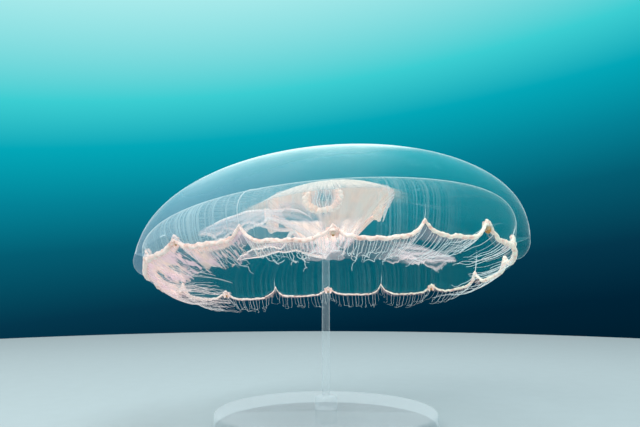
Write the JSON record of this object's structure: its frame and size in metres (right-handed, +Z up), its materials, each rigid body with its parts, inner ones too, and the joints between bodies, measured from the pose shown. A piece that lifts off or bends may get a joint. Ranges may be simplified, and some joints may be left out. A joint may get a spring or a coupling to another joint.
{
  "type": "moon jellyfish display model",
  "caption": "Life-size still model of an adult moon jellyfish: clear domed bell with scalloped rim, fringe of tentacles, frilled oral arms and horseshoe gonads, on a round base with a rod.",
  "frame": {"origin": "on the floor, under the middle of the whole model's box", "axes": "+Z up; -Y is the side the model is seen from; +X to that viewer's right"},
  "size_m": [0.2988, 0.2958, 0.1997],
  "materials": {
    "clear_jelly": "clear, faintly blue-green jelly with a wet gloss",
    "cream_flesh": "milky cream flesh, moist, part see-through",
    "pink_margin": "granular creamy pink margin and pale tentacles, moist",
    "lilac_gonad": "folded lilac-grey tissue, moist",
    "amber_sense_organ": "small orange-brown beads, moist",
    "clear_acrylic": "polished clear acrylic"
  },
  "bodies": {
    "root": {"bell": "clear_jelly", "gonad_far": "lilac_gonad", "gonad_left": "lilac_gonad", "gonad_near": "lilac_gonad", "gonad_right": "lilac_gonad", "manubrium": "cream_flesh", "margin_01": "pink_margin", "margin_02": "pink_margin", "margin_03": "pink_margin", "margin_04": "pink_margin", "margin_05": "pink_margin", "margin_06": "pink_margin", "margin_07": "pink_margin", "margin_08": "pink_margin", "margin_09": "pink_margin", "margin_10": "pink_margin", "margin_11": "pink_margin", "margin_12": "pink_margin", "margin_13": "pink_margin", "margin_14": "pink_margin", "margin_15": "pink_margin", "margin_16": "pink_margin", "oral_arm_far_left_lower": "cream_flesh", "oral_arm_far_left_upper": "cream_flesh", "oral_arm_far_right_lower": "cream_flesh", "oral_arm_far_right_upper": "cream_flesh", "oral_arm_near_left_lower": "cream_flesh", "oral_arm_near_left_upper": "cream_flesh", "oral_arm_near_right_lower": "cream_flesh", "oral_arm_near_right_upper": "cream_flesh", "rhopalium_1": "amber_sense_organ", "rhopalium_2": "amber_sense_organ", "rhopalium_3": "amber_sense_organ", "rhopalium_4": "amber_sense_organ", "rhopalium_5": "amber_sense_organ", "rhopalium_6": "amber_sense_organ", "rhopalium_7": "amber_sense_organ", "rhopalium_8": "amber_sense_organ", "stand_base": "clear_acrylic", "stand_collar": "clear_acrylic", "stand_rod": "clear_acrylic"}
  },
  "joints": []
}
